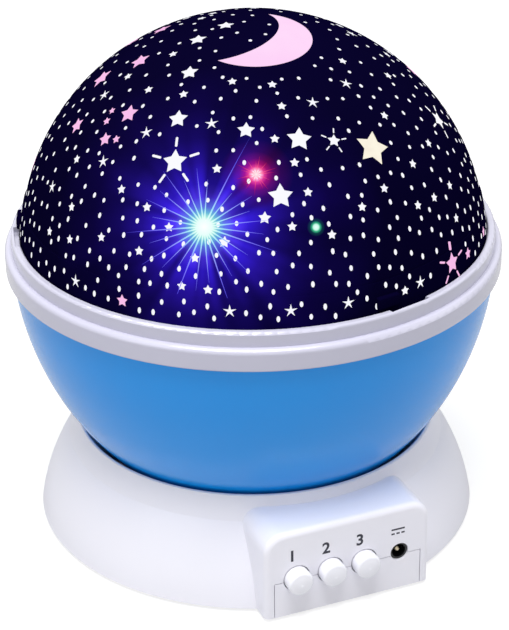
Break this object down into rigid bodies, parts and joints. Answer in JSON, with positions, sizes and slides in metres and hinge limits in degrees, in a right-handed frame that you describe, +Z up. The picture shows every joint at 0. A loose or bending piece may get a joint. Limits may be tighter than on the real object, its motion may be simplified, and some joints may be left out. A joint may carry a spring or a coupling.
{
  "type": "star night light projector",
  "caption": "Star night light projector: domed shade with star windows over a turning bowl, on a round base with push buttons, power socket and battery bay.",
  "frame": {"origin": "on the surface it stands on, under the axis of the globe", "axes": "+Z up along the globe's axis, the control box faces -Y, +X to the right seen from the front"},
  "size_m": [0.125, 0.125, 0.1318],
  "materials": {
    "base_white": "moulded white, soft gloss",
    "bowl_blue": "moulded blue, soft gloss",
    "ring_white": "moulded white, gloss",
    "dome_tint": "dark tinted shade with clear windows, gloss",
    "button_white": "moulded white, gloss",
    "inner_white": "plain white moulding",
    "gear_nylon": "natural nylon",
    "slip_plastic": "smooth low friction plastic",
    "foot_rubber": "pale soft rubber",
    "screw_steel": "zinc plated",
    "contact_steel": "nickel plated",
    "cell_jacket": "plain dark sleeve",
    "lead_cover": "grey insulation",
    "board_green": "green board lacquer",
    "chip_black": "black moulded package",
    "jack_black": "black moulded",
    "pin_brass": "plated contact",
    "motor_steel": "plated can",
    "led_clear": "clear lens",
    "led_blue": "tinted lens",
    "led_red": "tinted lens",
    "led_green": "tinted lens"
  },
  "bodies": {
    "base": {"base_shell": "base_white", "bottom_cover": "base_white", "rubber_feet": "foot_rubber", "cover_screws": "screw_steel", "battery_1": "cell_jacket", "battery_2": "cell_jacket", "battery_3": "cell_jacket", "battery_springs": "contact_steel", "battery_contacts": "contact_steel", "battery_lead": "lead_cover", "control_board": "board_green", "board_parts": "chip_black", "board_screws": "screw_steel", "switch_1": "chip_black", "switch_2": "chip_black", "switch_3": "chip_black", "dc_jack": "jack_black", "dc_jack_pin": "pin_brass", "motor_case": "motor_steel", "motor_screws": "screw_steel", "motor_lead": "lead_cover", "thrust_washer": "slip_plastic", "lamp_post": "inner_white", "post_screws": "screw_steel", "lamp_cup": "inner_white", "led_board": "board_green", "led_warm_white": "led_clear", "led_blue": "led_blue", "led_red": "led_red", "led_green": "led_green", "lamp_lead": "lead_cover"},
    "globe": {"bowl": "bowl_blue", "trim_ring": "ring_white", "ring_gear": "gear_nylon", "gear_screws": "screw_steel", "retaining_washer": "slip_plastic", "reflector_plate": "inner_white", "plate_screws": "screw_steel"},
    "dome": {"star_dome": "dome_tint"},
    "motor_output": {"motor_shaft": "screw_steel", "drive_pinion": "gear_nylon"},
    "door": {"battery_door": "base_white"},
    "push_1": {"button_1": "button_white", "plunger_1": "chip_black"},
    "push_2": {"button_2": "button_white", "plunger_2": "chip_black"},
    "push_3": {"button_3": "button_white", "plunger_3": "chip_black"}
  },
  "joints": [
    {"name": "globe_spin", "type": "hinge", "parent": "base", "child": "globe", "pos_m": [0, 0, 0.0203], "axis": [0, 0, 1], "continuous": true},
    {"name": "pinion_spin", "type": "hinge", "parent": "base", "child": "motor_output", "pos_m": [0.0336, 0, 0.0189], "axis": [0, 0, 1], "continuous": true},
    {"name": "dome_lift", "type": "slide", "parent": "globe", "child": "dome", "axis": [0, 0, 1], "range_m": [0, 0.045]},
    {"name": "door_open", "type": "hinge", "parent": "base", "child": "door", "pos_m": [0, 0.0084, 0.0017], "axis": [-1, 0, 0], "range_deg": [0, 75]},
    {"name": "button_1_press", "type": "slide", "parent": "base", "child": "push_1", "axis": [0, 1, 0], "range_m": [0, 0.0012], "stiffness_N_per_m": 300},
    {"name": "button_2_press", "type": "slide", "parent": "base", "child": "push_2", "axis": [0, 1, 0], "range_m": [0, 0.0012], "stiffness_N_per_m": 300},
    {"name": "button_3_press", "type": "slide", "parent": "base", "child": "push_3", "axis": [0, 1, 0], "range_m": [0, 0.0012], "stiffness_N_per_m": 300}
  ],
  "couplings": [
    {"joint": "pinion_spin", "follows": "globe_spin", "ratio": -6}
  ]
}
